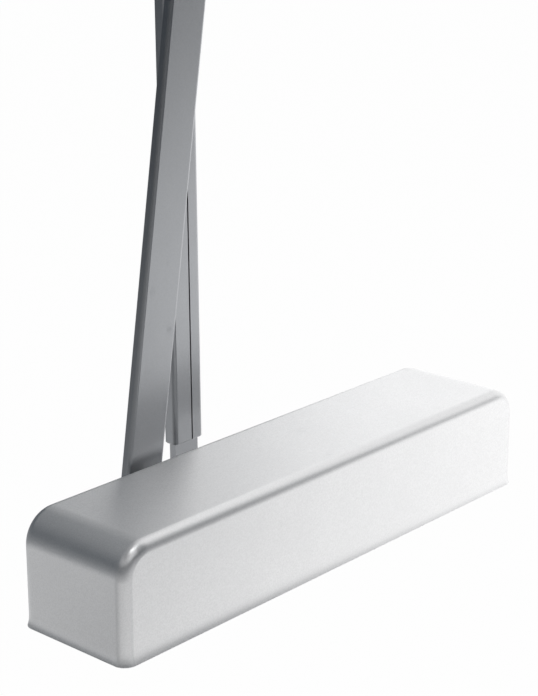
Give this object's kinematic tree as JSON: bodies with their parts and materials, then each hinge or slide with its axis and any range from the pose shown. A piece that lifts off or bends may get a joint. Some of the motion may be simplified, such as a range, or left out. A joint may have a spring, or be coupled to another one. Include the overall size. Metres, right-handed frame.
{
  "type": "surface door closer",
  "caption": "Surface door closer with a clip-on box cover, a rack and pinion inside, a flat forged main arm and a tubular telescopic forearm that ends in a screw-on shoe.",
  "frame": {"origin": "centre of the mounting holes of the casting, on the face that meets the door", "axes": "+X along the closer towards its spring end, +Y along the pinion shaft towards the arm, +Z out of the door"},
  "size_m": [0.3122, 0.1056, 0.3229],
  "materials": {
    "cover_silver": "satin silver",
    "arm_silver": "satin silver grey",
    "casting": "as cast",
    "spring_steel": "oiled",
    "steel": "machined",
    "brass": "machined",
    "seal_rubber": "matt",
    "ring_plastic": "matt"
  },
  "bodies": {
    "closer_body": {"body_casting": "casting", "passage_plug": "steel", "head_end_plug": "steel", "head_plug_seal": "seal_rubber", "spring_end_plug": "steel", "spring_plug_seal": "seal_rubber", "arm_side_bearing": "steel", "blind_side_bearing": "steel", "shaft_seals": "seal_rubber", "gland_nuts": "steel", "main_spring": "spring_steel"},
    "cover_body": {"cover": "cover_silver", "cover_clips": "spring_steel", "clip_rivets": "steel"},
    "arm": {"pinion_shaft": "steel", "main_arm": "arm_silver", "arm_washer": "steel", "arm_screw": "steel", "elbow_pin": "steel", "elbow_spacer": "steel", "elbow_washer": "steel", "elbow_clip": "spring_steel"},
    "piston_body": {"piston": "steel", "piston_ring": "ring_plastic", "ball_retainer": "steel"},
    "ball_body": {"check_ball": "steel"},
    "seat_body": {"spring_seat": "steel"},
    "adjuster_body": {"spring_adjuster": "steel"},
    "latch_valve": {"latch_needle": "brass"},
    "sweep_valve": {"sweep_needle": "brass"},
    "backcheck_valve": {"backcheck_needle": "brass"},
    "forearm": {"forearm_tube": "arm_silver", "forearm_eye": "arm_silver", "eye_rivets": "steel", "elbow_bush": "brass", "clamp_nut": "steel", "clamp_screw": "steel"},
    "rod": {"forearm_rod": "arm_silver", "shoe_bush": "brass"},
    "shoe_body": {"shoe": "arm_silver", "shoe_pin": "steel", "shoe_clip": "spring_steel"}
  },
  "joints": [
    {"name": "arm_swing", "type": "hinge", "parent": "closer_body", "child": "arm", "pos_m": [-0.06822, 0, 0.03125], "axis": [0, -1, 0], "range_deg": [0, 150], "stiffness_Nm_per_rad": 8, "springref_deg": -68.75},
    {"name": "piston_slide", "type": "slide", "parent": "closer_body", "child": "piston_body", "axis": [1, 0, 0], "range_m": [0, 0.0263], "deforming": ["main_spring"]},
    {"name": "check_ball_lift", "type": "slide", "parent": "piston_body", "child": "ball_body", "axis": [-1, 0, 0], "range_m": [0, 0.0013]},
    {"name": "elbow_fold", "type": "hinge", "parent": "arm", "child": "forearm", "pos_m": [-0.02493, 0.05535, 0.30991], "axis": [0, -1, 0], "range_deg": [0, 150]},
    {"name": "rod_extend", "type": "slide", "parent": "forearm", "child": "rod", "axis": [0.0096, 0, -1], "range_m": [-0.008, 0.045]},
    {"name": "shoe_pivot", "type": "hinge", "parent": "rod", "child": "shoe_body", "pos_m": [-0.02223, 0.05535, 0.028], "axis": [0, -1, 0], "range_deg": [-80, 80]},
    {"name": "spring_adjust", "type": "hinge", "parent": "closer_body", "child": "adjuster_body", "pos_m": [0.128, 0, 0.03125], "axis": [1, 0, 0], "range_deg": [-1800, 1800]},
    {"name": "spring_seat_slide", "type": "slide", "parent": "closer_body", "child": "seat_body", "axis": [1, 0, 0], "range_m": [-0.00745, 0.00745], "deforming": ["main_spring"]},
    {"name": "latch_turn", "type": "hinge", "parent": "closer_body", "child": "latch_valve", "pos_m": [-0.114, -0.016, 0.0556], "axis": [0, 0, 1], "range_deg": [-180, 540]},
    {"name": "sweep_turn", "type": "hinge", "parent": "closer_body", "child": "sweep_valve", "pos_m": [-0.099, -0.016, 0.0556], "axis": [0, 0, 1], "range_deg": [-180, 540]},
    {"name": "backcheck_turn", "type": "hinge", "parent": "closer_body", "child": "backcheck_valve", "pos_m": [-0.03422, -0.016, 0.0556], "axis": [0, 0, 1], "range_deg": [-180, 540]},
    {"name": "cover_lift", "type": "slide", "parent": "closer_body", "child": "cover_body", "axis": [0, 0, 1], "range_m": [0, 0.08]}
  ],
  "couplings": [
    {"joint": "piston_slide", "follows": "arm_swing", "m_per_rad": 0.01},
    {"joint": "spring_adjust", "follows": "spring_seat_slide", "rad_per_m": 4188.8}
  ]
}
